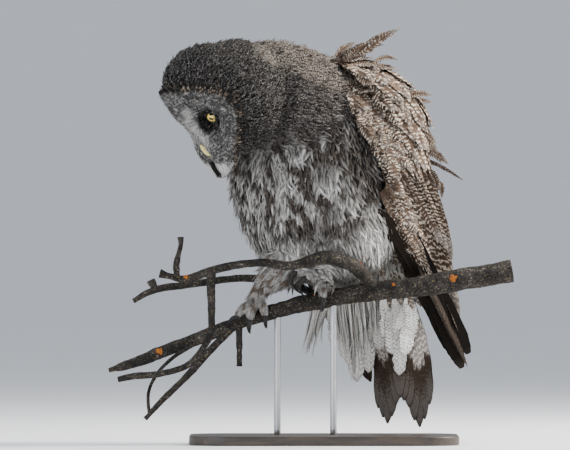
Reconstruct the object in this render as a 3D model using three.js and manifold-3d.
// A great grey owl at life size, leaning forward and looking down from a cut length of branch.
// Millimetres, +Z up. The front view looks along +Y with +X to the right. The floor is z = 0.
import * as THREE from 'three';
import { mergeVertices } from 'three/addons/utils/BufferGeometryUtils.js';
import Module from 'manifold-3d';

const wasm = await Module();
wasm.setup();

const TAU = Math.PI * 2;
// Gap that neighbouring pieces keep
const GAP = 0.33;
// Gap between the layers of feathers that only lie on one another
const LOOSE = 1;
// Smallest move that a clean-up of a fused surface may make
const TIDY = 0.01;

// Directions: the breast is turned 52 degrees from profile towards the front view, the head only 25
const BODY_TURN = THREE.MathUtils.degToRad(52);
const HEAD_TURN = THREE.MathUtils.degToRad(25);
const HEAD_DROOP = THREE.MathUtils.degToRad(35);
const BACK = new THREE.Vector3(Math.cos(BODY_TURN), Math.sin(BODY_TURN), 0);
const LEFT = new THREE.Vector3(Math.sin(BODY_TURN), -Math.cos(BODY_TURN), 0);
const UP = new THREE.Vector3(0, 0, 1);

// Torso: level slices from the belly up to the shoulders, in millimetres.
// x, y is the middle, side the half width, front and back the reach from the middle
const TORSO = [
  { z: 242, x: 36, y: 56, side: 34, front: 20, back: 34 },
  { z: 252, x: 35, y: 55, side: 72, front: 44, back: 62 },
  { z: 268, x: 34, y: 50, side: 100, front: 64, back: 82 },
  { z: 292, x: 33, y: 41, side: 118, front: 84, back: 96 },
  { z: 326, x: 27, y: 32, side: 127, front: 98, back: 108 },
  { z: 378, x: 17, y: 14, side: 130, front: 106, back: 118 },
  { z: 431, x: 9, y: 0, side: 126, front: 106, back: 122 },
  { z: 483, x: 11, y: -6, side: 110, front: 92, back: 118 },
  { z: 526, x: 19, y: -2, side: 88, front: 70, back: 96 },
  { z: 556, x: 27, y: 4, side: 58, front: 44, back: 60 },
  { z: 570, x: 32, y: 8, side: 22, front: 16, back: 24 },
];
// Neck: upright slices from inside the shoulders to inside the head
const NECK = [
  { x: 62, y: 28, z: 478, side: 66, up: 84, down: 50 },
  { x: 30, y: 6, z: 486, side: 88, up: 98, down: 66 },
  { x: -18, y: -36, z: 498, side: 94, up: 104, down: 72 },
  { x: -58, y: -66, z: 508, side: 88, up: 97, down: 66 },
  { x: -82, y: -80, z: 512, side: 62, up: 70, down: 48 },
];

// Head: its middle, and its reach from there to the face, nape, crown, chin and each side
const HEAD_MIDDLE = new THREE.Vector3(-104, -95, 512);
const HEAD = { front: 50, brow: 40, nape: 92, crown: 106, chin: 80, side: 96, ridge: 46, square: 0.45 };
// How much the crown falls off towards the nape, where that is greatest and how far it reaches
const NAPE_FALL = { share: 0.135, out: -35, wide: 30 };
const FACE_OUT = new THREE.Vector3(
  -Math.cos(HEAD_DROOP) * Math.cos(HEAD_TURN),
  -Math.cos(HEAD_DROOP) * Math.sin(HEAD_TURN),
  -Math.sin(HEAD_DROOP));
const FACE_LEFT = new THREE.Vector3(Math.sin(HEAD_TURN), -Math.cos(HEAD_TURN), 0);
const FACE_UP = new THREE.Vector3().crossVectors(FACE_OUT, FACE_LEFT);

// Facial disc: half width, half height, thickness, and how far its front stands before the head's middle
const DISC = {
  side: 81, half: 80, thick: 18, middle: 84, level: -2, follow: 0.7,
  wrap: 0.0086, twist: 0.00007, leastWrap: 0.0062,
};
// Ruff: the ring of short feathers on the rim of the disc
const RUFF = { count: 20, start: 0.93, reach: 1.12, length: 12.5, half: 13.2, sink: 4, rise: 3, tilt: 0.1 };
// Eye: ball radius and place; it looks outwards by this angle
const EYE = { radius: 13, side: 24.6, up: 6, out: 40, socket: 16.5, sunk: 4, opening: 11.5 };
// Block behind the bill that its root sits in
const BILL_BOSS = { out: 50, up: -24, radius: 14 };
// How far in front of the face nothing of the head may stand
const CLEAR_AHEAD = 60;
const EYE_SPLAY = THREE.MathUtils.degToRad(22);
const LID_THICK = 1.8;

// Perch: middle line and radius of each stretch of branch and twig
const BRANCH = [
  [-287, 4, 111, 3.2], [-250, 4, 122, 7.4], [-208, 3, 138, 9.6], [-147, 1, 161, 10.2], [-85, 0, 185, 10.6],
  [-40, -1, 199, 12], [6, 0, 211, 12.8], [50, 1, 220, 13.4], [97, 0, 228, 14.2], [180, -2, 237, 15.4],
  [255, 0, 250, 16.6], [318, 3, 260, 17],
];
const TWIG_UPPER = [
  [112, 2, 232, 9], [94, -26, 255, 10.4], [76, -54, 270, 10.8], [52, -68, 278, 10.6], [30, -76, 280, 10.2],
  [-15, -86, 268, 6.4], [-62, -92, 273, 6], [-117, -97, 265, 6.2], [-168, -100, 249, 6], [-194, -101, 253, 5],
  [-209, -102, 257, 7],
];
const TWIG_UPPER_STUB = [
  [-184, -100, 252, 5], [-184, -102, 272, 4.2], [-178, -104, 298, 3.6], [-178, -105, 311, 5],
];
const TWIG_MIDDLE = [
  [26, 6, 217, 6], [8, 30, 232, 6], [-30, 50, 244, 6], [-88, 48, 249, 5.8], [-168, 26, 239, 5.6],
  [-217, 12, 232, 5.4], [-250, 6, 215, 4],
];
const TWIG_MIDDLE_KNOB = [[-217, 12, 232, 5], [-224, 10, 246, 7]];
const TWIG_HANGING = [
  [-132, -99, 262, 7], [-133, -100, 240, 7], [-132, -98, 196, 5.4], [-135, -92, 162, 4.8],
  [-165, -78, 122, 4.6], [-208, -66, 107, 4.8], [-250, -60, 103, 5], [-272, -58, 98, 4.4],
];
const TWIG_LOWER = [
  [-99, -1, 178, 6.2], [-130, -4, 146, 5.6], [-168, -8, 104, 5.2], [-205, -10, 68, 4.6], [-232, -12, 38, 3.6],
];
const TWIG_LOOP = [
  [-152, 0, 154, 3.4], [-188, -4, 132, 3], [-214, -8, 106, 2.8], [-227, -10, 78, 2.6], [-226, -11, 46, 2.6],
];
const BRANCH_STUB = [[-92, 0, 180, 6.4], [-91, 0, 150, 4.6], [-91, 1, 117, 5]];

// Stand: a flat base and two rods up to the perch
const BASE = { x: 36, y: 10, length: 404, width: 250, corner: 60, height: 14, edge: 2.4 };
const RODS = [
  { name: 'stand_rod_left', x: -34, y: -1, top: 201, radius: 5 },
  { name: 'stand_rod_right', x: 50, y: 1, top: 220, radius: 5 },
];
const ROD_SIDES = 16;

// Wings: front edge and rear edge of each folded wing, as reach to the side and back from the torso's middle
const WING_LEFT = {
  lead: [
    [66, -28, 546], [118, -14, 479], [138, 10, 423], [140, 16, 363], [136, 48, 303], [125, 108, 243],
    [115, 152, 183], [112, 196, 112],
  ],
  rear: [
    [44, 78, 560], [58, 112, 508], [62, 124, 446], [62, 128, 393], [66, 136, 326], [82, 156, 251],
    [98, 180, 183], [110, 203, 108],
  ],
  bulge: [10, 26, 34, 32, 24, 14, 8, 2],
};
const WING_RIGHT = {
  lead: [
    [-60, -22, 546], [-108, -6, 479], [-122, 12, 423], [-124, 30, 363], [-114, 60, 303], [-82, 98, 243],
    [-50, 118, 183], [-22, 126, 124],
  ],
  rear: [
    [-30, 78, 560], [-38, 116, 508], [-40, 130, 446], [-38, 134, 393], [-34, 138, 326], [-26, 140, 251],
    [-20, 136, 183], [-14, 130, 122],
  ],
  bulge: [6, 14, 18, 18, 14, 8, 4, 1],
};
const WING_THICK = 15;
// Where along the wing its arm ends and its flight feathers go on alone
const WING_PART = 0.6;
// Cushion of flesh and down that the flight feathers are rooted in: its ends along the stack, and its levels
const CUSHION = { from: -8, to: 34, side: 50, top: 0.5, bottom: -11 };
// Shoulder feathers: the front and rear edges of the pad that lies over the root of each wing
const SCAPULAR_LEFT = {
  lead: [[52, -18, 572], [96, 2, 545], [128, 34, 500], [136, 58, 450], [134, 74, 400], [130, 84, 360]],
  rear: [[16, 50, 582], [20, 98, 556], [24, 132, 505], [28, 140, 455], [34, 142, 410], [48, 142, 362]],
  bulge: [18, 40, 50, 48, 38, 24],
};
const SCAPULAR_RIGHT = {
  lead: [[-44, -16, 570], [-88, 6, 545], [-114, 36, 500], [-122, 58, 450], [-120, 72, 405], [-110, 84, 370]],
  rear: [[-12, 50, 582], [-12, 96, 556], [-10, 128, 505], [-12, 136, 455], [-16, 140, 410], [-22, 142, 372]],
  bulge: [12, 24, 30, 30, 24, 14],
};
const SCAPULAR_THICK = 26;
// Where along the shoulder pad its last feathers are rooted and go on alone
const SCAPULAR_PART = 0.88;

// Feathers, in millimetres: thickness, and how deep the root is sunk. The outlines give, from root to tip,
// the place along the vane, its width as a share of the half width, and its share of the rise to the tip
const VANE = { thick: 0.8, sink: 3 };
const COVERT_OUTLINE = [[0, 0.15, 0], [0.24, 0.85, 0.6], [0.75, 1, 0.88], [1, 0.3, 1]];
const FLIGHT_OUTLINE = [[0, 0.2, 0], [0.25, 0.92, 0.25], [0.65, 1, 0.65], [0.9, 0.74, 0.9], [1, 0.2, 1]];
const RUFF_OUTLINE = [[0, 0.3, 0], [0.42, 1, 0.9], [1, 0.55, 1]];
// Wing coverts: rows that start at a place along the wing, with each feather's distance from the front edge
const COVERTS = {
  left: [
    { at: 0.12, across: [20, 45], half: 15.5, length: 56 },
    { at: 0.22, across: [12, 37], half: 15.5, length: 58 },
    { at: 0.32, across: [22, 47], half: 15.5, length: 60 },
    { at: 0.42, across: [12, 37, 62], half: 15.5, length: 62 },
    { at: 0.52, across: [25, 51, 77, 103], half: 16.5, length: 66 },
  ],
  right: [
    { at: 0.17, across: [26, 52], half: 16, length: 54 },
    { at: 0.26, across: [14, 40], half: 16, length: 56 },
    { at: 0.35, across: [26, 52], half: 16, length: 58 },
    { at: 0.44, across: [14, 40, 66], half: 16, length: 60 },
    { at: 0.52, across: [27, 53, 79, 104], half: 16, length: 66 },
  ],
};
const COVERT_TILT = 0.05;
const COVERT_TIP = 5.5;
// Shoulder feathers: rows over the pad; ruffled, so their tips stand well off it
const SCAPULARS = {
  left: { rows: 5, start: 0.06, step: 0.17, first: 22, pitch: 39, half: 23, length: 64, tip: 10, rear: 24 },
  right: { rows: 4, start: 0.08, step: 0.2, first: 22, pitch: 40, half: 23, length: 70, tip: 8, rear: 24 },
};
const SCAPULAR_TILT = 0.06;
const SCAPULAR_SINK = 6;
// Raised feathers that break the outline behind the near shoulder: where each starts, and its rise
const RAISED = [
  { at: 0.02, across: 62, half: 12, length: 66, tip: 62 },
  { at: 0.3, across: 32, half: 12, length: 60, tip: 26 },
  { at: 0.36, across: 62, half: 13, length: 62, tip: 34 },
  { at: 0.52, across: 30, half: 13, length: 60, tip: 24 },
  { at: 0.62, across: 50, half: 14, length: 80, tip: 46 },
  { at: 0.72, across: 16, half: 13, length: 70, tip: 26 },
];
// Flight feathers of the folded wing: how far each kind spreads from the cushion's middle, front to rear,
// how far apart the stacked layers lie, and each one's length
const PRIMARIES = {
  from: -43, to: -9, tipFrom: -8, tipTo: 11, level: -7.5, layer: 1.25, half: 12.5,
  lengths: [204, 222, 215, 200, 184, 170],
};
const SECONDARIES = {
  from: 0, to: 47, drift: -8, level: 0.6, tilt: 0.17, half: 13,
  lengths: [158, 146, 134, 123, 112, 101],
};
const FLIGHT_THICK = 0.6;
const FLIGHT_START = 20;
// The stack is arched a little less than the wing: its share of the wing's own bulge, and how high it lies
const FLIGHT_CAMBER = 0.7;
const FLIGHT_CROWN = 0.85;

// Tail: middle line from the rump to the tip, half width, and the direction of its width
const TAIL_LINE = [
  [104, 88, 338], [116, 90, 286], [132, 90, 232], [146, 90, 176], [154, 92, 110], [157, 94, 26],
];
const TAIL_HALF = [22, 34, 44, 51, 54, 40];
const TAIL_ACROSS = new THREE.Vector3(0.91, -0.41, 0).normalize();
const TAIL_THICK = 20;
// Where along the tail the rump that its feathers are rooted in ends
const TAIL_PART = 0.36;
// Tail feathers of one side, middle to outer: how far out each starts and ends, and where its tip hangs.
// Each lies under the one before it
const RECTRICES = { half: 13, start: 0.22, from: 3, step: 3.2, spread: 7.8, layer: 1.25, level: 4.4 };
const RECTRIX_TIPS = { left: [64, 54, 34, 24, 36, 58], right: [68, 58, 40, 29, 38, 52] };
// Barred feathers under the root of the tail
const UNDERTAIL = [
  { at: 0.24, across: -26, half: 12, length: 66, tip: 5 },
  { at: 0.26, across: 2, half: 13, length: 92, tip: 6 },
  { at: 0.24, across: 28, half: 12, length: 62, tip: 5 },
];
// Downy feathers that hang under the belly: the pad that they grow from, then one line each
const VENT_PAD = [[34, 62, 246, 10], [66, 74, 244, 14], [102, 80, 254, 11]];
const VENT_LOCKS = [
  [[36, 60, 242, 8], [28, 54, 206, 6.4], [18, 48, 166, 4.4], [9, 44, 130, 0.8]],
  [[40, 60, 240, 7], [36, 56, 214, 6], [28, 52, 182, 4], [22, 49, 150, 0.8]],
  [[62, 66, 238, 8], [62, 60, 204, 7.4], [66, 55, 172, 5], [70, 52, 134, 0.8]],
  [[72, 68, 240, 9], [76, 58, 200, 8.4], [80, 51, 150, 6.4], [84, 48, 94, 0.8]],
  [[82, 72, 240, 8], [88, 64, 204, 7], [93, 58, 164, 5], [96, 55, 124, 0.8]],
  [[100, 78, 250, 8], [106, 68, 222, 7], [110, 62, 192, 5], [112, 60, 160, 0.8]],
];
// How much flatter a downy lock is than it is wide
const LOCK_FLAT = 0.5;

// Legs: middle line and radius of each feathered leg, from the belly to the ankle
const LEGS = {
  right: [[-16, 16, 276, 34], [-36, 5, 254, 26], [-54, -2, 237, 17], [-64, -4, 224, 12]],
  left: [[46, 10, 284, 32], [43, 2, 268, 24], [40, -4, 256, 17], [38, -6, 246, 12.5]],
};
// Toes: middle line and radius, then the claw that follows on from each
const FEET = {
  right: {
    ankle: [[-60, -4, 229, 12], [-66, -5, 217, 13], [-70, -5, 207, 11.5]],
    toes: [
      [[-68, -5, 213, 8.4], [-77, -14, 209, 8], [-87, -20, 202, 7.2], [-94, -20, 193, 6]],
      [[-68, -5, 213, 8.4], [-70, -17, 208, 8], [-73, -23, 199, 7.2], [-75, -22, 188, 6]],
      [[-66, -4, 212, 8], [-58, -14, 210, 7.6], [-54, -20, 203, 7], [-53, -20, 193, 6]],
      [[-68, -2, 211, 8.4], [-71, 9, 208, 7.8], [-73, 16, 202, 7], [-74, 18, 193, 6]],
    ],
    claws: [
      [[-94, -20, 192, 4], [-102, -20, 188, 3.2], [-106, -16, 180, 2.2], [-104, -12, 172, 0.5]],
      [[-75, -22, 187, 4], [-77, -22, 178, 3.2], [-76, -17, 170, 2.2], [-74, -10, 166, 0.5]],
      [[-53, -20, 192, 4], [-52, -20, 184, 3.2], [-51, -15, 177, 2.2], [-50, -9, 174, 0.5]],
      [[-74, 18, 192, 4], [-75, 19, 184, 3.2], [-75, 15, 177, 2.2], [-74, 9, 172, 0.5]],
    ],
  },
  left: {
    ankle: [[38, -6, 250, 12.5], [35, -5, 240, 14], [30, -4, 232, 12]],
    toes: [
      [[30, -6, 242, 8.6], [17, -15, 254, 8.2], [4, -19, 260, 7.4], [-7, -21, 258, 5.8]],
      [[32, -7, 242, 8.6], [24, -20, 251, 8.2], [15, -26, 254, 7.4], [7, -28, 250, 5.8]],
      [[32, -6, 238, 8.4], [34, -19, 238, 8], [35, -25, 231, 7.4], [35, -25, 221, 6]],
      [[32, -3, 238, 8.4], [33, 9, 236, 8], [34, 17, 229, 7.2], [34, 20, 218, 6]],
    ],
    claws: [
      [
        [-7.5, -21.2, 257, 4], [-13, -22, 250, 3.4], [-12, -21, 240, 2.6], [-5, -19, 231, 1.6],
        [2, -16, 226, 0.5],
      ],
      [[6.5, -28.4, 249, 4], [1, -29, 243, 3.3], [-1, -27, 235, 2.4], [3, -22, 226, 1.4], [8, -17, 222, 0.5]],
      [[35, -25, 220, 4], [34, -25, 211, 3.2], [34, -20, 203, 2.2], [34, -13, 199, 0.5]],
      [[34, 20, 217, 4], [34, 21, 209, 3.2], [33, 17, 202, 2.2], [33, 10, 199, 0.5]],
    ],
  },
};

// Bill: middle line in the face's own directions (out, up) and half width and half depth
const BILL_UPPER = [
  { out: 60, up: -13, half: 8.8, deep: 8 }, { out: 66, up: -19, half: 8.4, deep: 8.4 },
  { out: 72, up: -29, half: 6.4, deep: 6.4 }, { out: 73.5, up: -40, half: 4, deep: 4 },
  { out: 70, up: -49, half: 0.7, deep: 0.8 },
];
const BILL_LOWER = [
  { out: 56, up: -30, half: 5.6, deep: 3.6 }, { out: 60, up: -34, half: 5.2, deep: 3.6 },
  { out: 64.5, up: -40, half: 3.4, deep: 2.4 }, { out: 66, up: -44, half: 0.9, deep: 0.8 },
];
const NOSTRIL = { out: 72, side: 7, up: -23, radius: 1.3, deep: 6 };

// Finishes
const FINISH = {
  plumage: { color: 0x57504b, roughness: 0.9 },
  crown: { color: 0x3d3a38, roughness: 0.9 },
  breast: { color: 0x7b756f, roughness: 0.9 },
  face: { color: 0x8a8781, roughness: 0.9 },
  flight: { color: 0x4a3f38, roughness: 0.8 },
  lid: { color: 0x141212, roughness: 0.5 },
  eye: { color: 0xe0b93a, roughness: 0.12 },
  bill: { color: 0xc9b24c, roughness: 0.4 },
  claw: { color: 0x1c1917, roughness: 0.35 },
  foot: { color: 0x7d7268, roughness: 0.9 },
  bark: { color: 0x4c4743, roughness: 0.95 },
  stand: { color: 0x2a2622, roughness: 0.5 },
  rod: { color: 0x6e6f72, roughness: 0.35, metalness: 1 },
};

// A row of numbers read smoothly at a place from 0 to 1 along a list of like rows, or just past its ends
function along(rows, place) {
  const at = place * (rows.length - 1);
  const i = Math.min(Math.max(Math.floor(at), 0), rows.length - 2);
  const f = at - i;
  const before = rows[Math.max(i - 1, 0)];
  const after = rows[Math.min(i + 2, rows.length - 1)];
  return rows[i].map((a, k) => {
    const b = rows[i + 1][k];
    const rise = (b - before[k]) / 2;
    const next = (after[k] - a) / 2;
    return a + f * (rise + f * (3 * (b - a) - 2 * rise - next + f * (2 * (a - b) + rise + next)));
  });
}

// A seeded draw from 0 to 1, alike on every run
function draw(seed) {
  let state = seed >>> 0;
  return () => {
    state = (state * 1664525 + 1013904223) >>> 0;
    return state / 4294967296;
  };
}

// A closed surface turned into a solid; it is turned inside out first where its faces point inwards
function solidFrom(positions, index) {
  const geometry = new THREE.BufferGeometry();
  geometry.setAttribute('position', new THREE.Float32BufferAttribute(positions, 3));
  geometry.setIndex(index);
  const merged = mergeVertices(geometry, 1e-4);
  const points = merged.attributes.position.array;
  const corners = [];
  let volume = 0;
  for (let i = 0; i < merged.index.count; i += 3) {
    const [a, b, c] = [0, 1, 2].map((k) => merged.index.getX(i + k));
    if (a !== b && b !== c && c !== a) {
      corners.push(a, b, c);
      const [p, q, r] = [a, b, c].map((k) => new THREE.Vector3().fromArray(points, 3 * k));
      volume += p.dot(q.cross(r));
    }
  }
  if (volume < 0) {
    for (let i = 0; i < corners.length; i += 3) {
      [corners[i], corners[i + 1]] = [corners[i + 1], corners[i]];
    }
  }
  return new wasm.Manifold(new wasm.Mesh({
    numProp: 3, vertProperties: new Float32Array(points), triVerts: new Uint32Array(corners),
  }));
}

// A three.js geometry as a solid
function solidOf(geometry) {
  geometry.deleteAttribute('normal');
  geometry.deleteAttribute('uv');
  const merged = mergeVertices(geometry);
  return solidFrom(Array.from(merged.attributes.position.array), Array.from(merged.index.array));
}

// A body skinned over rings of points, with each end closed by a fan to the ring's middle
function ringBody(rings) {
  const sides = rings[0].length;
  const positions = [];
  const index = [];
  rings.forEach((ring) => ring.forEach((p) => positions.push(p.x, p.y, p.z)));
  for (let i = 0; i + 1 < rings.length; i += 1) {
    for (let j = 0; j < sides; j += 1) {
      const a = i * sides + j;
      const b = i * sides + (j + 1) % sides;
      index.push(a, b, b + sides, a, b + sides, a + sides);
    }
  }
  [0, rings.length - 1].forEach((end) => {
    const middle = rings[end].reduce((sum, p) => sum.add(p), new THREE.Vector3()).divideScalar(sides);
    const centre = positions.length / 3;
    positions.push(middle.x, middle.y, middle.z);
    for (let j = 0; j < sides; j += 1) {
      const a = end * sides + j;
      const b = end * sides + (j + 1) % sides;
      index.push(...(end === 0 ? [centre, b, a] : [centre, a, b]));
    }
  });
  return solidFrom(positions, index);
}

// A solid grown outwards on every side
function swell(solid, gap) {
  const mesh = solid.getMesh();
  const points = Array.from({ length: mesh.numVert }, (_, i) => (
    new THREE.Vector3().fromArray(mesh.vertProperties, mesh.numProp * i)));
  const faces = points.map(() => []);
  for (let i = 0; i < mesh.triVerts.length; i += 3) {
    const corners = [0, 1, 2].map((k) => mesh.triVerts[i + k]);
    const [a, b, c] = corners.map((k) => points[k]);
    const normal = b.clone().sub(a).cross(c.clone().sub(a)).normalize();
    corners.forEach((k) => faces[k].push(normal));
  }
  const grown = points.flatMap((point, i) => {
    const outward = faces[i].reduce((sum, normal) => sum.add(normal), new THREE.Vector3()).normalize();
    const closest = Math.min(...faces[i].map((normal) => normal.dot(outward)));
    return point.clone().addScaledVector(outward, gap / Math.max(closest, 0.5)).toArray();
  });
  return new wasm.Manifold(new wasm.Mesh({
    numProp: 3, vertProperties: new Float32Array(grown), triVerts: mesh.triVerts,
  }));
}

// A solid cut clear of its neighbours
function clearOf(solid, neighbours, gap = GAP) {
  return neighbours.reduce((rest, neighbour) => rest.subtract(swell(neighbour, gap)), solid);
}

// A tapered round limb along a line of [x, y, z, radius] points, with its sides thickened by grow
function limb(line, sides, steps, grow = 0) {
  const curve = new THREE.CatmullRomCurve3(line.map(([x, y, z]) => new THREE.Vector3(x, y, z)));
  const frames = curve.computeFrenetFrames(steps, false);
  const rings = [];
  for (let i = 0; i <= steps; i += 1) {
    const place = i / steps;
    const middle = curve.getPoint(place);
    const end = i === 0 ? -grow : i === steps ? grow : 0;
    middle.addScaledVector(frames.tangents[i], end);
    const radius = along(line.map((row) => [row[3]]), place)[0] + grow;
    rings.push(Array.from({ length: sides }, (_, j) => {
      const turn = TAU * j / sides;
      return middle.clone()
        .addScaledVector(frames.normals[i], radius * Math.cos(turn))
        .addScaledVector(frames.binormals[i], radius * Math.sin(turn));
    }));
  }
  return ringBody(rings);
}

// The torso's middle at a height, with its reach to the side, front and back
function torsoAt(z) {
  const rows = TORSO.map((row) => [row.x, row.y, row.side, row.front, row.back]);
  const over = TORSO.findIndex((row) => row.z > z);
  const i = over < 0 ? TORSO.length - 1 : Math.max(over, 1);
  const [low, high] = [TORSO[i - 1].z, TORSO[i].z];
  const place = (i - 1 + Math.min(Math.max((z - low) / (high - low), 0), 1)) / (TORSO.length - 1);
  return along(rows, place);
}

// A point beside the body: reach to the left and to the back from the torso's middle at a height
function beside([side, back, z]) {
  const [x, y] = torsoAt(z);
  return new THREE.Vector3(x, y, z).addScaledVector(LEFT, side).addScaledVector(BACK, back);
}

// A point in the head's own directions
function onFace(out, side, up) {
  return HEAD_MIDDLE.clone()
    .addScaledVector(FACE_OUT, out).addScaledVector(FACE_LEFT, side).addScaledVector(FACE_UP, up);
}

function torsoSolid(grow = 0) {
  const sides = 20;
  const steps = 11;
  const low = TORSO[0].z;
  const high = TORSO[TORSO.length - 1].z;
  return ringBody(Array.from({ length: steps + 1 }, (_, i) => {
    const z = low + (high - low) * i / steps;
    const [x, y, side, front, back] = torsoAt(z);
    const level = i === 0 ? z - grow : i === steps ? z + grow : z;
    return Array.from({ length: sides }, (_unused, j) => {
      const turn = TAU * j / sides;
      const reach = Math.cos(turn) > 0 ? back : front;
      return new THREE.Vector3(x, y, level)
        .addScaledVector(BACK, (reach + grow) * Math.cos(turn))
        .addScaledVector(LEFT, (side + grow) * Math.sin(turn));
    });
  }));
}

function neckSolid(grow = 0) {
  const sides = 16;
  const steps = 5;
  const rows = NECK.map((row) => [row.x, row.y, row.z, row.side, row.up, row.down]);
  const first = new THREE.Vector3(NECK[0].x, NECK[0].y, 0);
  const last = new THREE.Vector3(NECK[NECK.length - 1].x, NECK[NECK.length - 1].y, 0);
  const across = new THREE.Vector3().crossVectors(UP, last.sub(first)).normalize();
  return ringBody(Array.from({ length: steps + 1 }, (_, i) => {
    const [x, y, z, side, up, down] = along(rows, i / steps);
    return Array.from({ length: sides }, (_unused, j) => {
      const turn = TAU * j / sides;
      const height = Math.sin(turn) > 0 ? up : down;
      return new THREE.Vector3(x, y, z)
        .addScaledVector(across, (side + grow) * Math.cos(turn))
        .addScaledVector(UP, (height + grow) * Math.sin(turn));
    });
  }));
}

// The head is an egg with its own reach in each direction, a squared brow and a crown that falls to the nape
function headSolid(grow = 0) {
  const sphere = new THREE.SphereGeometry(1, 22, 14);
  const position = sphere.attributes.position;
  for (let i = 0; i < position.count; i += 1) {
    const p = new THREE.Vector3().fromBufferAttribute(position, i);
    const middle = Math.exp(-((p.z * HEAD.side / HEAD.ridge) ** 2));
    const square = p.x > 0 && p.y > 0 ? 1 - HEAD.square * middle : 1;
    const front = HEAD.front + HEAD.brow * middle;
    const out = Math.sign(p.x) * Math.abs(p.x) ** square * ((p.x > 0 ? front : HEAD.nape) + grow);
    const fall = p.y > 0 ? NAPE_FALL.share * Math.exp(-(((out - NAPE_FALL.out) / NAPE_FALL.wide) ** 2)) : 0;
    const height = (p.y > 0 ? HEAD.crown : HEAD.chin) * (1 - fall) + grow;
    const up = Math.sign(p.y) * Math.abs(p.y) ** square * height;
    const place = onFace(out, p.z * (HEAD.side + grow), up);
    position.setXYZ(i, place.x, place.y, place.z);
  }
  return solidOf(sphere);
}

// How far the front of the facial disc stands before the head's middle, at a place on the face
function faceFront(side, up) {
  const wrap = Math.max(DISC.wrap + DISC.twist * up, DISC.leastWrap);
  const chin = Math.max(-up - 10, 0);
  return DISC.middle - wrap * side * side - 0.0012 * chin * chin + 0.004 * Math.max(up, 0) ** 1.5;
}

// The hollow around each eye and the raised ridge between them
function faceRelief(side, up) {
  const eye = Math.hypot(Math.abs(side) - EYE.side - 8, up - EYE.up);
  const dish = -24 * Math.exp(-((eye / 25) ** 2));
  const ridge = 5 * Math.exp(-((side / 12) ** 2)) * Math.exp(-(((up - 24) / 40) ** 2));
  const bill = -30 * Math.exp(-((side / 12) ** 2) - (((up + 42) / 20) ** 2));
  return dish + ridge + bill;
}

// The front of the disc at a place that is this share of the way to the rim
function discFront(side, up, reach) {
  return faceFront(side, up) + faceRelief(side, up) * (1 - reach ** 6);
}

// The disc is a wrapped shield: rings from the middle of its front out to the rim and back behind.
// Pushed forward by ahead, its front makes the solid that clears the face out of the head
function discSolid(grow = 0, ahead = 0) {
  const sectors = 24;
  const ring = (reach, front, push) => Array.from({ length: sectors }, (_, j) => {
    const turn = TAU * j / sectors;
    const side = (DISC.side + grow) * reach * Math.cos(turn);
    const up = DISC.level + (DISC.half + grow) * reach * Math.sin(turn);
    const out = front
      ? discFront(side, up, Math.min(reach, 1)) + grow + push
      : faceFront(side, up) + DISC.follow * faceRelief(side, up) - DISC.thick * (1.6 - 0.6 * reach) - grow;
    return onFace(out, side, up);
  });
  return ringBody([
    ...(ahead > 0 ? [0.5] : [0.31, 0.59, 0.81, 0.95]).map((reach) => ring(reach, true, ahead)),
    ring(ahead > 0 ? RUFF.reach : 1, true, ahead),
    ...(ahead > 0 ? [ring(RUFF.reach, true, 0), ring(1, true, 0)] : []),
    ring(0.93, false, 0),
    ring(0.5, false, 0),
  ]);
}

// The disc with a boss behind each eye for its socket, and one behind the bill
function maskSolid(grow = 0, ahead = 0) {
  const sockets = [1, -1].map((side) => (
    ball(eyePlace(side).addScaledVector(eyeLook(side), -EYE.sunk), EYE.socket + grow, 10)));
  const root = ball(onFace(BILL_BOSS.out, 0, BILL_BOSS.up), BILL_BOSS.radius + grow, 9);
  return wasm.Manifold.union([discSolid(grow, ahead), ...sockets, root]);
}

// Short stiff feathers all round the rim of the disc, each with one edge over the next
function ruffVanes() {
  return Array.from({ length: RUFF.count }, (_, i) => {
    const turn = TAU * i / RUFF.count;
    const field = (d, s, n) => {
      const angle = turn + s / DISC.side;
      const reach = RUFF.start + d / DISC.side;
      const side = DISC.side * reach * Math.cos(angle);
      const up = DISC.level + DISC.half * reach * Math.sin(angle);
      return onFace(discFront(side, up, Math.min(reach, 1)) + n, side, up);
    };
    return vane(field, {
      from: [0, 0], to: [RUFF.length, 0], half: RUFF.half, root: -RUFF.sink, tip: RUFF.rise, tilt: RUFF.tilt,
      outline: RUFF_OUTLINE, columns: 2,
    });
  });
}

function eyePlace(side) {
  return onFace(EYE.out, side * EYE.side, EYE.up);
}

function eyeLook(side) {
  return FACE_OUT.clone().multiplyScalar(Math.cos(EYE_SPLAY))
    .addScaledVector(FACE_LEFT, side * Math.sin(EYE_SPLAY));
}

function ball(centre, radius, sides = 12) {
  const sphere = new THREE.SphereGeometry(radius, sides, Math.round(sides * 0.6));
  sphere.translate(centre.x, centre.y, centre.z);
  return solidOf(sphere);
}

// A straight bar along a direction, used to cut openings
function bar(centre, direction, radius, length, sides, squeeze = 1) {
  const geometry = new THREE.CylinderGeometry(radius, radius, length, sides);
  geometry.scale(1, 1, squeeze);
  const turn = new THREE.Quaternion().setFromUnitVectors(new THREE.Vector3(0, 1, 0), direction);
  geometry.applyQuaternion(turn);
  geometry.translate(centre.x, centre.y, centre.z);
  return solidOf(geometry);
}

// Lids: a shell over the ball, open in front
function lidSolid(side) {
  const centre = eyePlace(side);
  const look = eyeLook(side);
  const outer = EYE.radius + GAP + LID_THICK;
  const behind = bar(centre.clone().addScaledVector(look, -outer), look, 2 * outer, 2 * outer + 7, 8);
  const cap = ball(centre, outer).subtract(behind);
  const opening = bar(centre.clone().addScaledVector(look, outer), look, 8.2, 2 * outer, 8);
  return cap.subtract(ball(centre, EYE.radius + GAP)).subtract(opening);
}

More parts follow.
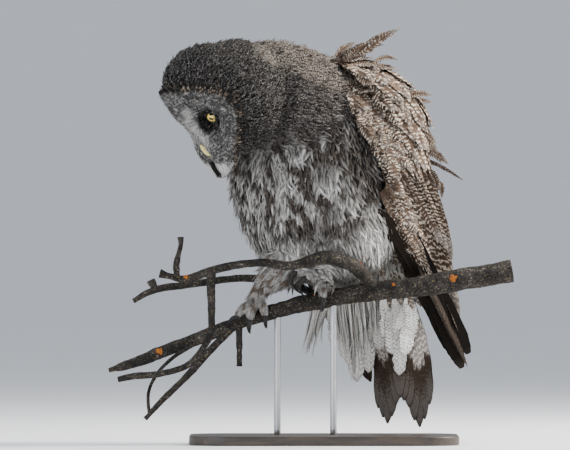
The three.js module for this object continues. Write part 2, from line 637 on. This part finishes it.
function billSolid(rows) {
  const sides = 10;
  const steps = 7;
  const values = rows.map((row) => [row.out, row.up, row.half, row.deep]);
  const rings = Array.from({ length: steps + 1 }, (_, i) => {
    const place = i / steps;
    const [out, up, half, deep] = along(values, place);
    const [outNext, upNext] = along(values, place + 0.02);
    const [outLast, upLast] = along(values, place - 0.02);
    const run = Math.hypot(outNext - outLast, upNext - upLast);
    const normal = [(upNext - upLast) / run, -(outNext - outLast) / run];
    return Array.from({ length: sides }, (_unused, j) => {
      const turn = TAU * j / sides;
      const lift = deep * Math.sin(turn);
      return onFace(out - normal[0] * lift, half * Math.cos(turn), up - normal[1] * lift);
    });
  });
  return ringBody(rings);
}

// A folded wing: a curved shell between its front and rear edges
function wingPoint(wing, place, across, lift) {
  const lead = along(wing.lead, place);
  const rear = along(wing.rear, place);
  const bulge = along(wing.bulge.map((value) => [value]), place)[0];
  const a = beside(lead);
  const b = beside(rear);
  const outward = new THREE.Vector3()
    .addScaledVector(LEFT, rear[1] - lead[1])
    .addScaledVector(BACK, lead[0] - rear[0])
    .normalize();
  if (outward.dot(LEFT) * Math.sign(lead[0] + rear[0]) < 0) {
    outward.negate();
  }
  return a.lerp(b, across).addScaledVector(outward, bulge * 4 * across * (1 - across) + lift);
}

// The solid of a wing or shoulder pad between two places along it, from its surface down to a depth
function wingSolid(wing, start, end, depth, steps) {
  const columns = 6;
  return ringBody(Array.from({ length: steps + 1 }, (_, i) => {
    const place = start + (end - start) * i / steps;
    const outer = Array.from({ length: columns + 1 }, (_unused, j) => wingPoint(wing, place, j / columns, 0));
    const inner = Array.from({ length: columns + 1 }, (_unused, j) => {
      const across = 1 - j / columns;
      const edge = 0.45 + 0.55 * Math.sin(Math.PI * across);
      return wingPoint(wing, place, across, -depth * edge);
    });
    return [...outer, ...inner];
  }));
}

// How long a wing or shoulder pad is, and how wide it is at a place along it
function wingLength(wing) {
  const middle = [0, 0.25, 0.5, 0.75, 1].map((place) => wingPoint(wing, place, 0.5, 0));
  return new THREE.CatmullRomCurve3(middle).getLength();
}

function wingWidth(wing, place) {
  const arch = wingPoint(wing, place, 0.5, 0);
  return wingPoint(wing, place, 0, 0).distanceTo(arch) + wingPoint(wing, place, 1, 0).distanceTo(arch);
}

// The surface of a wing or pad as a place to lay feathers on: d along it from its root, s from its front
// edge and n off it, in millimetres
function wingField(wing) {
  const length = wingLength(wing);
  return (d, s, n) => wingPoint(wing, d / length, s / wingWidth(wing, d / length), n);
}

// One feather's vane. It lies on a field of d along, s across and n off a surface, between two places in it.
// Its root is under the surface and its tip above it, and one edge is higher than the other.
// Both its faces are split into triangles alike
function vane(field, { from, to, half, root, tip, tilt = 0, outline, columns, thick = VANE.thick }) {
  const positions = [];
  const index = [];
  outline.forEach(([place, share, risen]) => {
    const d = from[0] + (to[0] - from[0]) * place;
    const middle = from[1] + (to[1] - from[1]) * place;
    const level = root + (tip - root) * risen;
    [0.5, -0.5].forEach((face) => {
      for (let j = 0; j < columns; j += 1) {
        const aside = half * share * (2 * j / (columns - 1) - 1);
        const n = level + aside * tilt + face * thick * (1 - 0.35 * place);
        const p = field(d, middle + aside, n);
        positions.push(p.x, p.y, p.z);
      }
    });
  });
  const ring = 2 * columns;
  const last = (outline.length - 1) * ring;
  for (let a = 0; a < last; a += ring) {
    for (let j = 0; j + 1 < columns; j += 1) {
      const f = a + j;
      const b = f + columns;
      index.push(f, f + 1, f + ring + 1, f, f + ring + 1, f + ring);
      index.push(b, b + ring + 1, b + 1, b, b + ring, b + ring + 1);
    }
    const [f, b, g, c] = [a, a + columns, a + columns - 1, a + ring - 1];
    index.push(f, f + ring, b + ring, f, b + ring, b);
    index.push(g, c, c + ring, g, c + ring, g + ring);
  }
  for (let j = 0; j + 1 < columns; j += 1) {
    const b = j + columns;
    index.push(j + 1, j, b, j + 1, b, b + 1);
    index.push(last + j, last + j + 1, last + b + 1, last + j, last + b + 1, last + b);
  }
  return solidFrom(positions, index);
}

// Rows of coverts over the arm of a wing
function covertVanes(wing, rows) {
  const field = wingField(wing);
  const length = wingLength(wing);
  return rows.flatMap((row) => row.across.map((s) => vane(field, {
    from: [row.at * length, s], to: [row.at * length + row.length, s + 3], half: row.half,
    root: -VANE.sink, tip: COVERT_TIP, tilt: COVERT_TILT, outline: COVERT_OUTLINE, columns: 2,
  })));
}

// Rows of ruffled shoulder feathers over a pad, then the raised ones
function scapularVanes(pad, kind, raised) {
  const field = wingField(pad);
  const length = wingLength(pad);
  const chance = draw(7);
  const vanes = [];
  for (let row = 0; row < kind.rows; row += 1) {
    const at = kind.start + row * kind.step;
    const width = wingWidth(pad, at);
    for (let s = kind.first + (row % 2) * kind.pitch / 2; s < width - kind.rear; s += kind.pitch) {
      const long = kind.length * (0.9 + 0.3 * chance());
      vanes.push(vane(field, {
        from: [at * length, s], to: [at * length + long, s + 4], half: kind.half,
        root: -SCAPULAR_SINK, tip: kind.tip * (0.9 + 0.2 * chance()) * long / kind.length,
        tilt: SCAPULAR_TILT, outline: COVERT_OUTLINE, columns: 2,
      }));
    }
  }
  raised.forEach(({ at, across, half, length: long, tip }) => vanes.push(vane(field, {
    from: [at * length, across], to: [at * length + long, across + 6], half, root: -SCAPULAR_SINK, tip,
    outline: COVERT_OUTLINE, columns: 2,
  })));
  return vanes;
}

// Flat place where the long feathers of a folded wing lie stacked, from their cushion to the wing's tip
function fanField(wing) {
  const [lead, rear] = [wingPoint(wing, WING_PART, 0, 0), wingPoint(wing, WING_PART, 1, 0)];
  const root = lead.clone().lerp(rear, 0.5);
  const down = wingPoint(wing, 1, 0.5, 0).sub(root).normalize();
  const outward = new THREE.Vector3().crossVectors(down, rear.clone().sub(lead)).normalize();
  if (outward.dot(wingPoint(wing, WING_PART, 0.5, 1).sub(wingPoint(wing, WING_PART, 0.5, 0))) < 0) {
    outward.negate();
  }
  const across = new THREE.Vector3().crossVectors(outward, down);
  if (across.dot(rear.clone().sub(lead)) < 0) {
    across.negate();
  }
  const half = lead.distanceTo(rear) / 2;
  const camber = FLIGHT_CAMBER * along(wing.bulge.map((value) => [value]), WING_PART)[0];
  return (d, s, n) => root.clone().addScaledVector(down, d).addScaledVector(across, s)
    .addScaledVector(outward, n + camber * (FLIGHT_CROWN - (s / half) ** 2));
}

function cushionSolid(wing) {
  const field = fanField(wing);
  const columns = 3;
  return ringBody([CUSHION.from, CUSHION.to].map((d) => {
    const across = Array.from({ length: columns + 1 }, (_, j) => CUSHION.side * (2 * j / columns - 1));
    const upper = across.map((s) => field(d, s, CUSHION.top));
    const under = across.reverse().map((s) => field(d, s, CUSHION.bottom));
    return [...upper, ...under];
  }));
}

function flightVanes(wing) {
  const field = fanField(wing);
  const spread = (from, to, i, count) => from + (to - from) * i / (count - 1);
  const like = { outline: FLIGHT_OUTLINE, columns: 2, thick: FLIGHT_THICK };
  const outer = PRIMARIES.lengths.map((length, i) => {
    const count = PRIMARIES.lengths.length;
    const level = PRIMARIES.level + PRIMARIES.layer * i;
    return vane(field, {
      ...like, half: PRIMARIES.half, root: level, tip: level,
      from: [FLIGHT_START, spread(PRIMARIES.from, PRIMARIES.to, i, count)],
      to: [length, spread(PRIMARIES.tipFrom, PRIMARIES.tipTo, i, count)],
    });
  });
  const inner = SECONDARIES.lengths.map((length, i) => {
    const s = spread(SECONDARIES.from, SECONDARIES.to, i, SECONDARIES.lengths.length);
    return vane(field, {
      ...like, half: SECONDARIES.half, tilt: -SECONDARIES.tilt,
      root: SECONDARIES.level, tip: SECONDARIES.level,
      from: [FLIGHT_START, s], to: [length, s + SECONDARIES.drift],
    });
  });
  return [...outer, ...inner];
}

// The tail as a place to lay feathers on: d along it from the rump, s to its left and n to its upper side
function tailField() {
  const curve = new THREE.CatmullRomCurve3(TAIL_LINE.map(([x, y, z]) => new THREE.Vector3(x, y, z)));
  const length = curve.getLength();
  return (d, s, n) => {
    const place = Math.min(Math.max(d / length, 0), 1);
    const behind = new THREE.Vector3().crossVectors(curve.getTangentAt(place), TAIL_ACROSS).normalize();
    return curve.getPointAt(place).addScaledVector(TAIL_ACROSS, s).addScaledVector(behind, n);
  };
}

function tailLength() {
  return new THREE.CatmullRomCurve3(TAIL_LINE.map(([x, y, z]) => new THREE.Vector3(x, y, z))).getLength();
}

// The rump that the tail's feathers are rooted in
function rumpSolid(grow = 0) {
  const field = tailField();
  const steps = 4;
  const columns = 4;
  const length = tailLength() * TAIL_PART;
  return ringBody(Array.from({ length: steps + 1 }, (_, i) => {
    const place = i / steps;
    const half = along(TAIL_HALF.map((value) => [value]), place * TAIL_PART)[0] + grow;
    const thick = TAIL_THICK * (1 - 0.3 * place) / 2 + grow;
    const d = length * place + (i === steps ? grow : 0);
    const across = Array.from({ length: columns + 1 }, (_unused, j) => -1 + 2 * j / columns);
    const upper = across.map((u) => field(d, half * u, thick * (1 - 0.35 * u * u)));
    const under = across.map((u) => field(d, half * u, -thick * (1 - 0.35 * u * u))).reverse();
    return [...upper, ...under];
  }));
}

// Twelve tail feathers: the middle pair lies on top, and each pair outwards lies under the one before
function tailVanes() {
  const field = tailField();
  const length = tailLength();
  const lowest = TAIL_LINE[TAIL_LINE.length - 1][2];
  const vanes = [];
  [['left', 1], ['right', -1]].forEach(([name, way]) => {
    RECTRIX_TIPS[name].forEach((height, i) => {
      const level = RECTRICES.level - RECTRICES.layer * (i + (i === 0 && way < 0 ? -1 : 0));
      const out = RECTRICES.from + RECTRICES.spread * i;
      vanes.push(vane(field, {
        from: [length * RECTRICES.start, way * (RECTRICES.from + RECTRICES.step * i)],
        to: [length - (height - lowest), way * out],
        half: RECTRICES.half, root: level, tip: level,
        outline: FLIGHT_OUTLINE, columns: 2, thick: FLIGHT_THICK,
      }));
    });
  });
  UNDERTAIL.forEach(({ at, across, half, length: long, tip }) => {
    const under = (d, s, n) => field(d, s, 2 - TAIL_THICK / 2 - n);
    vanes.push(vane(under, {
      from: [length * at, across], to: [length * at + long, across * 1.1], half, root: -VANE.sink, tip,
      outline: COVERT_OUTLINE, columns: 2,
    }));
  });
  return vanes;
}

// The branch that the owl grips
function mainBranch(grow = 0) {
  return limb(BRANCH, 9, 19, grow);
}

function perchSolids() {
  const branch = (grow) => mainBranch(grow).add(limb(BRANCH_STUB, 6, 2, grow));
  const upper = (grow) => limb(TWIG_UPPER, 7, 13, grow).add(limb(TWIG_UPPER_STUB, 5, 4, grow));
  const middle = (grow) => limb(TWIG_MIDDLE, 7, 9, grow).add(limb(TWIG_MIDDLE_KNOB, 5, 2, grow));
  const lower = (grow) => limb(TWIG_LOWER, 6, 5, grow);
  return {
    perch_branch: branch(0),
    perch_twig_upper: upper(0).subtract(branch(GAP)),
    perch_twig_middle: middle(0).subtract(branch(GAP)),
    perch_twig_hanging: limb(TWIG_HANGING, 6, 11).subtract(upper(GAP)),
    perch_twig_lower: lower(0).subtract(branch(GAP)),
    perch_twig_loop: limb(TWIG_LOOP, 5, 7).subtract(branch(GAP)).subtract(lower(GAP)),
  };
}

// The base is a rounded plate with its edges taken off
function baseSolid() {
  const halfLength = BASE.length / 2 - BASE.edge;
  const halfWidth = BASE.width / 2 - BASE.edge;
  const shape = new THREE.Shape();
  const r = BASE.corner;
  shape.moveTo(-halfLength + r, -halfWidth);
  shape.lineTo(halfLength - r, -halfWidth);
  shape.absarc(halfLength - r, -halfWidth + r, r, -Math.PI / 2, 0);
  shape.lineTo(halfLength, halfWidth - r);
  shape.absarc(halfLength - r, halfWidth - r, r, 0, Math.PI / 2);
  shape.lineTo(-halfLength + r, halfWidth);
  shape.absarc(-halfLength + r, halfWidth - r, r, Math.PI / 2, Math.PI);
  shape.lineTo(-halfLength, -halfWidth + r);
  shape.absarc(-halfLength + r, -halfWidth + r, r, Math.PI, 1.5 * Math.PI);
  const geometry = new THREE.ExtrudeGeometry(shape, {
    depth: BASE.height - 2 * BASE.edge, bevelEnabled: true, bevelThickness: BASE.edge,
    bevelSize: BASE.edge, bevelSegments: 1, curveSegments: 3,
  });
  geometry.translate(BASE.x, BASE.y, BASE.edge);
  return solidOf(geometry);
}

function rodSolid(rod) {
  const bottom = BASE.height + GAP;
  const geometry = new THREE.CylinderGeometry(rod.radius, rod.radius, rod.top - bottom, ROD_SIDES);
  geometry.rotateX(Math.PI / 2);
  geometry.translate(rod.x, rod.y, (rod.top + bottom) / 2);
  return solidOf(geometry).subtract(mainBranch(GAP));
}

// The largest closed surface of a solid, with flat splinters taken out
function largest(solid) {
  const pieces = solid.simplify(TIDY).decompose();
  return pieces.reduce((best, piece) => (piece.volume() > best.volume() ? piece : best));
}

// A core with all that grows from it fused on
function fused(core, grown) {
  return wasm.Manifold.union([core, ...grown]);
}

const owl = new THREE.Group();

function put(name, solid, finish) {
  const mesh = largest(solid).getMesh();
  const geometry = new THREE.BufferGeometry();
  const points = Array.from({ length: mesh.numVert }, (_, i) => (
    [0, 1, 2].map((k) => mesh.vertProperties[mesh.numProp * i + k]))).flat();
  geometry.setAttribute('position', new THREE.Float32BufferAttribute(points, 3));
  geometry.setIndex(Array.from(mesh.triVerts));
  geometry.computeVertexNormals();
  const { color, roughness, metalness = 0 } = FINISH[finish];
  const piece = new THREE.Mesh(geometry, new THREE.MeshStandardMaterial({ color, roughness, metalness }));
  piece.name = name;
  owl.add(piece);
}

function addStand() {
  put('stand_base', baseSolid(), 'stand');
  RODS.forEach((rod) => put(rod.name, rodSolid(rod), 'rod'));
}

function addPerch() {
  Object.entries(perchSolids()).forEach(([name, solid]) => put(name, solid, 'bark'));
}

// A nostril on each side of the bill, near its root
function nostrils() {
  return [1, -1].map((side) => {
    const inward = FACE_LEFT.clone().multiplyScalar(-side).addScaledVector(FACE_OUT, -0.6).normalize();
    return bar(onFace(NOSTRIL.out, side * NOSTRIL.side, NOSTRIL.up), inward, NOSTRIL.radius, NOSTRIL.deep, 6);
  });
}

function addHead() {
  const whole = billSolid(BILL_UPPER);
  const upper = nostrils().reduce((bill, hole) => bill.subtract(hole), whole);
  const lower = clearOf(billSolid(BILL_LOWER), [whole]);
  const sunk = [swell(whole, GAP), swell(lower, GAP)];
  [['left', 1], ['right', -1]].forEach(([name, side]) => {
    const eye = ball(eyePlace(side), EYE.radius);
    const sight = bar(eyePlace(side).addScaledVector(eyeLook(side), 20), eyeLook(side), EYE.opening, 40, 8);
    sunk.push(ball(eyePlace(side), EYE.radius + 2 * GAP + LID_THICK), sight);
    put(`eyelids_${name}`, lidSolid(side), 'lid');
    put(`eye_${name}`, eye, 'eye');
  });
  const skull = headSolid().subtract(maskSolid(GAP, CLEAR_AHEAD));
  const ruff = ruffVanes().map((feather) => clearOf(feather, [skull]));
  put('head', skull, 'crown');
  put('facial_disc', fused(maskSolid(), ruff).subtract(wasm.Manifold.union(sunk)), 'face');
  put('bill_upper', upper, 'bill');
  put('bill_lower', lower, 'bill');
}

function addBody() {
  const neck = neckSolid().subtract(headSolid(GAP)).subtract(torsoSolid(GAP)).subtract(discSolid(GAP));
  put('neck', neck, 'crown');
  put('torso', torsoSolid().subtract(headSolid(GAP)).subtract(discSolid(GAP)), 'breast');
}

// The arm of each wing with its coverts, the stack of its flight feathers, and the shoulder feathers
function addWings() {
  const body = (solid) => solid.subtract(torsoSolid(GAP)).subtract(neckSolid(GAP));
  const over = [];
  const both = [['left', WING_LEFT, SCAPULAR_LEFT, RAISED], ['right', WING_RIGHT, SCAPULAR_RIGHT, []]];
  both.forEach(([name, wing, pad, raised]) => {
    const arm = wingSolid(wing, 0, WING_PART, WING_THICK, 7);
    const shoulder = wingSolid(pad, 0, SCAPULAR_PART, SCAPULAR_THICK, 8);
    const cushion = clearOf(cushionSolid(wing), [arm]);
    const stack = flightVanes(wing).map((feather) => clearOf(feather, [arm]));
    const loose = scapularVanes(pad, SCAPULARS[name], raised).map((feather) => clearOf(feather, [arm]));
    const round = [shoulder, cushionSolid(wing)];
    const coverts = covertVanes(wing, COVERTS[name]).map((feather) => clearOf(feather, round));
    put(`wing_${name}`, body(fused(arm, coverts)), 'plumage');
    put(`wing_${name}_flight_feathers`, body(fused(cushion, stack)), 'flight');
    const clear = clearOf(shoulder, [arm, ...over], LOOSE);
    put(`scapulars_${name}`, body(fused(clear, loose)), 'plumage');
    over.push(shoulder);
  });
}

// A downy lock is a limb pressed flat from front to back
function lockSolid(line) {
  const [x, y] = line[0];
  return limb(line.map(([px, py, pz, r]) => [px, y + (py - y) / LOCK_FLAT, pz, r]), 5, 3)
    .translate([-x, -y, 0]).scale([1, LOCK_FLAT, 1]).translate([x, y, 0]);
}

function addTail() {
  put('tail', fused(rumpSolid(), tailVanes()).subtract(torsoSolid(GAP)), 'flight');
  const vent = fused(limb(VENT_PAD, 7, 3), VENT_LOCKS.map(lockSolid));
  put('vent_feathers', vent.subtract(torsoSolid(GAP)).subtract(rumpSolid(GAP)), 'breast');
}

function addLegs() {
  const perch = mainBranch(GAP);
  Object.entries(FEET).forEach(([name, foot]) => {
    const leg = (grow) => limb(LEGS[name], 10, 6, grow);
    put(`leg_${name}`, leg(0).subtract(torsoSolid(GAP)), 'foot');
    let whole = limb(foot.ankle, 7, 3);
    foot.toes.forEach((toe) => {
      whole = whole.add(limb(toe, 6, 3));
    });
    foot.claws.forEach((claw, i) => {
      const [knuckle, end] = foot.toes[i].slice(-2);
      const rooted = [end.map((value, k) => value + (knuckle[k] - value) * 0.35), ...claw];
      rooted[0][3] = claw[0][3];
      whole = whole.subtract(limb(rooted, 5, 6, GAP));
      put(`claw_${name}_${i + 1}`, limb(rooted, 5, 6).subtract(perch), 'claw');
    });
    put(`foot_${name}`, whole.subtract(leg(GAP)).subtract(perch), 'foot');
  });
}

addStand();
addPerch();
addHead();
addBody();
addWings();
addTail();
addLegs();

export default owl;
